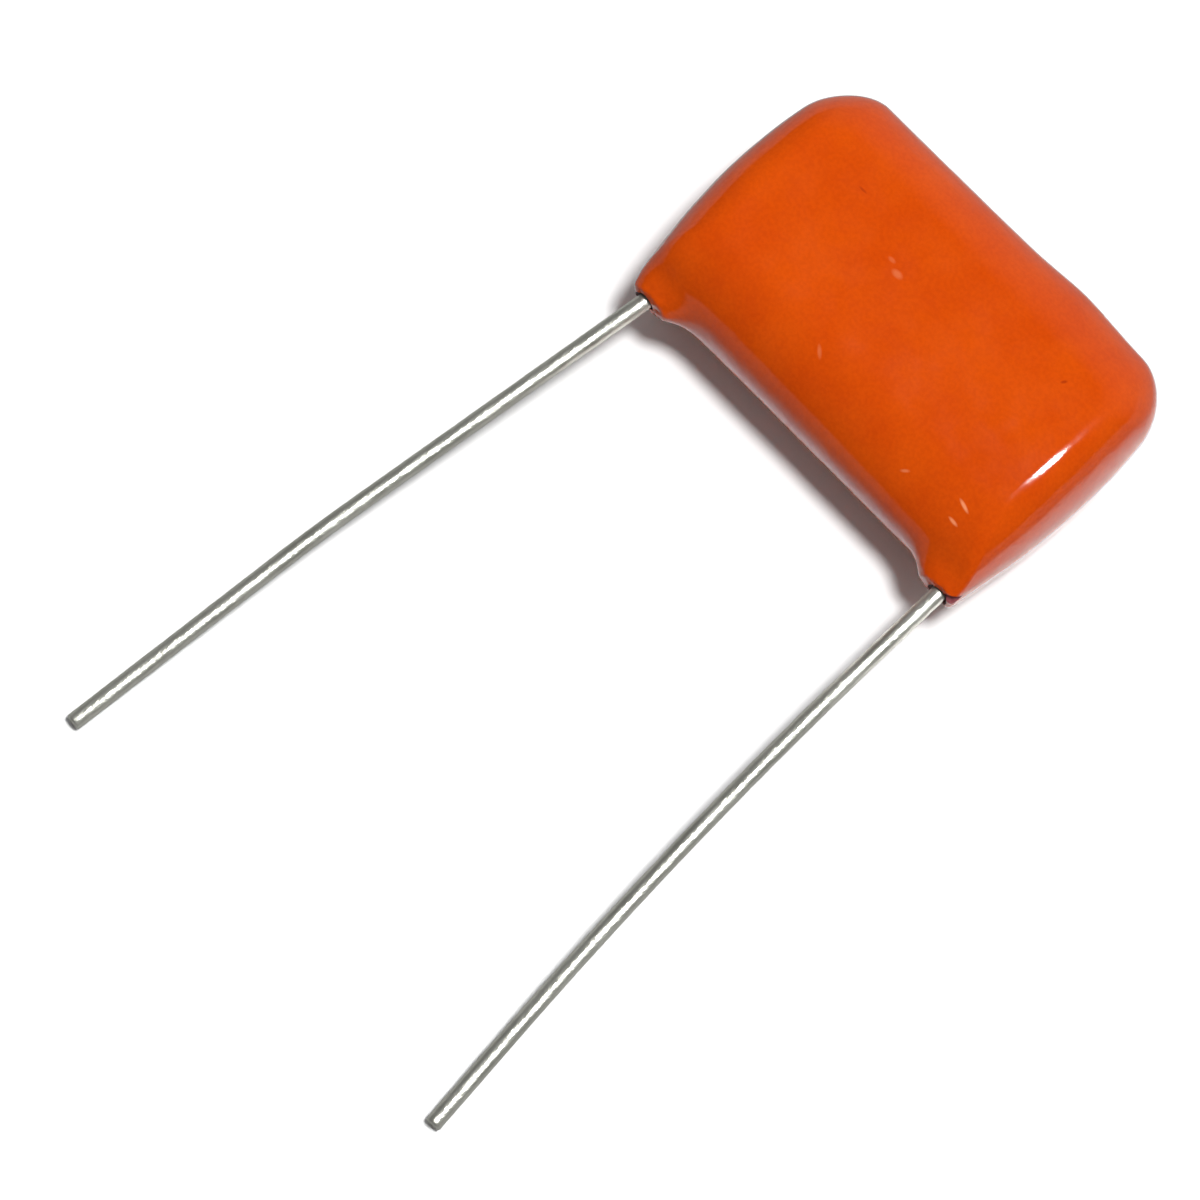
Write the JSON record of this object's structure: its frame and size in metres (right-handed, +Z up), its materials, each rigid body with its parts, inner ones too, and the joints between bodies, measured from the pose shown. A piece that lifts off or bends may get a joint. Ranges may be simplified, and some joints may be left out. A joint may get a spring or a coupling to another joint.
{
  "type": "film capacitor",
  "caption": "Dipped film capacitor: a flat rounded orange epoxy body with long tinned wire leads that leave one long side and splay slightly, for through-hole soldering.",
  "frame": {"origin": "on the surface that the capacitor lies on, midway between the leads, under the middle of the roll inside the body", "axes": "+Z up through the body's thickness, +X from the left lead to the right lead, +Y away from the leads, so that the leads run to -Y"},
  "size_m": [0.0251, 0.0483, 0.0072],
  "materials": {
    "epoxy": "glossy dipped epoxy",
    "film": "metallised film, wound and pressed flat",
    "spray": "sprayed zinc, matt and grainy",
    "wire": "bright tinned copper-clad steel"
  },
  "bodies": {
    "root": {"epoxy_coating": "epoxy", "film_winding": "film", "end_spray_left": "spray", "end_spray_right": "spray", "lead_left": "wire", "lead_right": "wire"}
  },
  "joints": []
}
